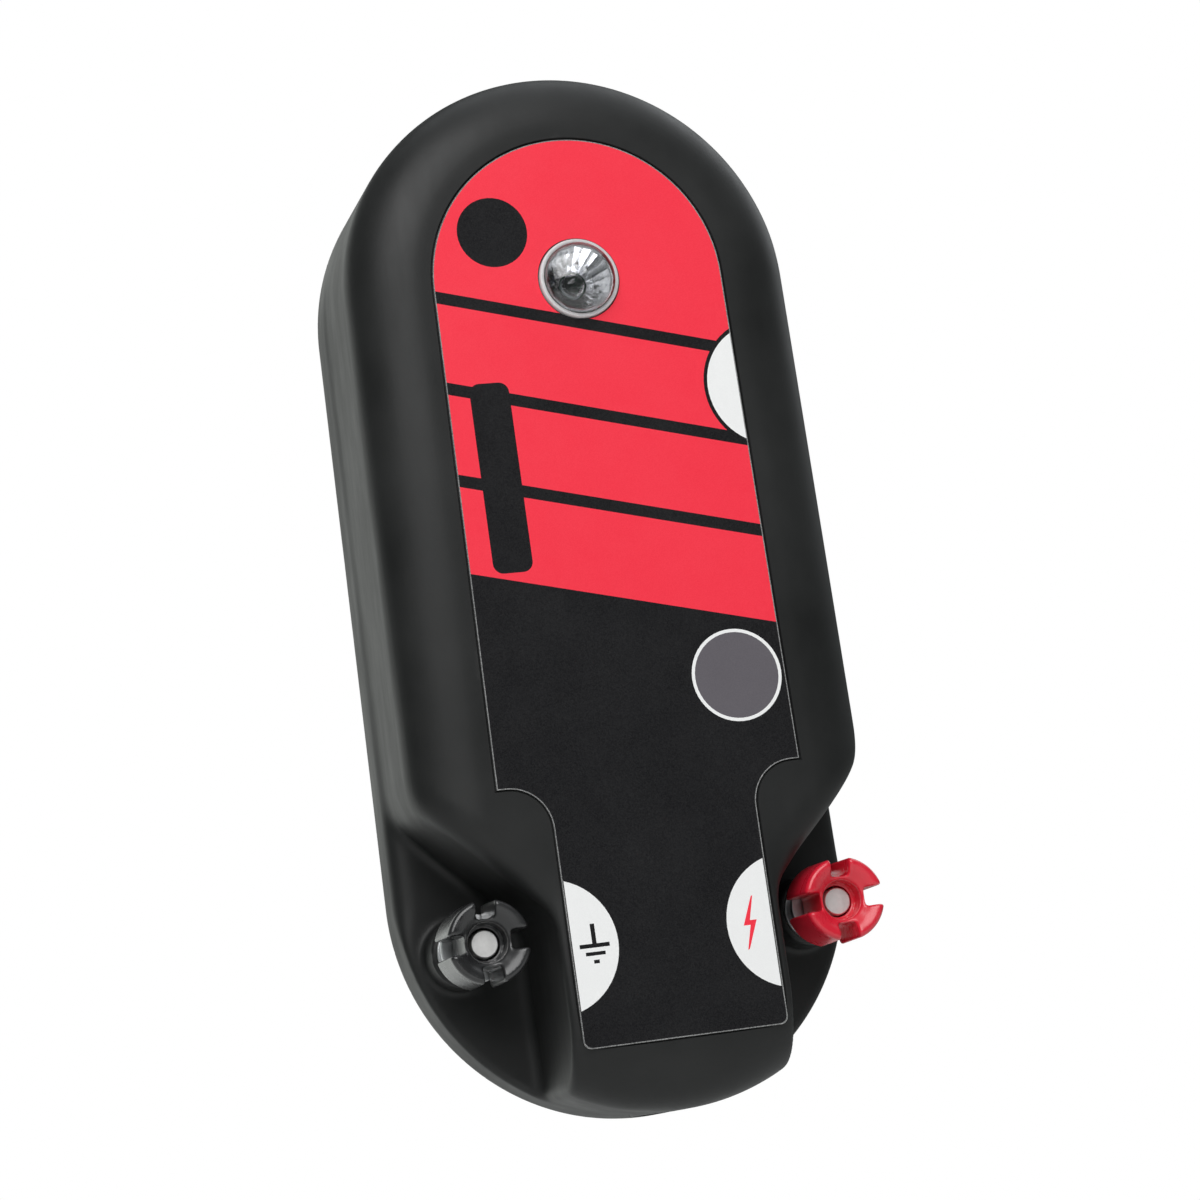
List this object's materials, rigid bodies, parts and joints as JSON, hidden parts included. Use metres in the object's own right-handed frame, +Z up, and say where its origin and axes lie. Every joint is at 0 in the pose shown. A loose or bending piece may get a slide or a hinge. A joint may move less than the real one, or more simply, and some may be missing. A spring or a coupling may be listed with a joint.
{
  "type": "fence energizer",
  "caption": "Wall-hung electric fence energizer: round-ended black case with a printed front label, a clear lens, and a knob terminal in each lowered lower corner.",
  "frame": {"origin": "centre of the rear cover's outer face, which lies against the wall", "axes": "+Z up the case's length as it hangs, terminals at the lower end; -Y out of the front panel; +X to the right seen from the front"},
  "size_m": [0.1008, 0.049, 0.225],
  "materials": {
    "case_plastic": "fine satin moulded ABS, black",
    "cover_plastic": "fine textured ABS, black",
    "seal_rubber": "soft closed-cell rubber",
    "label_film": "printed polycarbonate film, red, black and white, satin gloss",
    "rating_film": "blank silver polyester film",
    "lens_clear": "clear polished plastic",
    "reflector": "bright metallised cup",
    "led_resin": "clear tinted resin",
    "stud_nickel": "nickel-plated steel",
    "zinc_steel": "zinc-plated steel",
    "knob_red": "moulded nylon, red, satin gloss",
    "knob_black": "moulded nylon, black, satin gloss",
    "inlet_plastic": "moulded nylon, black",
    "board_laminate": "green solder resist over glass laminate",
    "core_steel": "varnished laminations",
    "winding_tape": "yellow insulating tape over the winding",
    "winding_copper": "enamelled copper wire",
    "capacitor_sleeve": "shrunk sleeve, blue",
    "heat_sink_aluminium": "extruded, plain",
    "epoxy_black": "moulded epoxy",
    "lead_white": "silicone-insulated high-voltage wire",
    "lead_green": "PVC-insulated wire",
    "lead_red": "PVC-insulated wire",
    "lead_black": "PVC-insulated wire"
  },
  "bodies": {
    "root": {"front_housing": "case_plastic", "rear_cover": "cover_plastic", "case_seal": "seal_rubber", "front_label": "label_film", "rating_label": "rating_film", "cover_screw_top_left": "zinc_steel", "cover_screw_top_right": "zinc_steel", "cover_screw_middle_left": "zinc_steel", "cover_screw_middle_right": "zinc_steel", "cover_screw_bottom_left": "zinc_steel", "cover_screw_bottom_right": "zinc_steel", "board_screw_top_left": "zinc_steel", "board_screw_top_right": "zinc_steel", "board_screw_bottom_left": "zinc_steel", "board_screw_bottom_right": "zinc_steel", "indicator_lens": "lens_clear", "lens_reflector": "reflector", "pulse_led": "led_resin", "fence_stud": "stud_nickel", "fence_ring_lug": "zinc_steel", "fence_fixed_washer": "zinc_steel", "fence_lock_nut": "zinc_steel", "earth_stud": "stud_nickel", "earth_ring_lug": "zinc_steel", "earth_fixed_washer": "zinc_steel", "earth_lock_nut": "zinc_steel", "power_socket": "inlet_plastic", "power_socket_nut": "zinc_steel", "circuit_board": "board_laminate", "pulse_transformer_core": "core_steel", "pulse_transformer_winding": "winding_tape", "inverter_transformer_core": "core_steel", "inverter_transformer_winding": "winding_copper", "storage_capacitor": "capacitor_sleeve", "filter_capacitor_left": "capacitor_sleeve", "filter_capacitor_right": "capacitor_sleeve", "heat_sink": "heat_sink_aluminium", "thyristor": "epoxy_black", "control_chip": "epoxy_black", "fence_lead": "lead_white", "earth_lead": "lead_green", "supply_lead_positive": "lead_red", "supply_lead_negative": "lead_black"},
    "fence_clamp": {"fence_clamp_washer": "zinc_steel"},
    "fence_knob": {"fence_knob": "knob_red"},
    "earth_clamp": {"earth_clamp_washer": "zinc_steel"},
    "earth_knob": {"earth_knob": "knob_black"}
  },
  "joints": [
    {"name": "fence_clamp_travel", "type": "slide", "parent": "root", "child": "fence_clamp", "axis": [0, -1, 0], "range_m": [0, 0.005]},
    {"name": "fence_knob_turn", "type": "hinge", "parent": "fence_clamp", "child": "fence_knob", "pos_m": [0.0385, -0.036, -0.074], "axis": [0, -1, 0], "range_deg": [0, 1800]},
    {"name": "earth_clamp_travel", "type": "slide", "parent": "root", "child": "earth_clamp", "axis": [0, -1, 0], "range_m": [0, 0.005]},
    {"name": "earth_knob_turn", "type": "hinge", "parent": "earth_clamp", "child": "earth_knob", "pos_m": [-0.0385, -0.036, -0.074], "axis": [0, -1, 0], "range_deg": [0, 1800]}
  ],
  "couplings": [
    {"joint": "fence_clamp_travel", "follows": "fence_knob_turn", "m_per_rad": 0.00015915},
    {"joint": "earth_clamp_travel", "follows": "earth_knob_turn", "m_per_rad": 0.00015915}
  ]
}
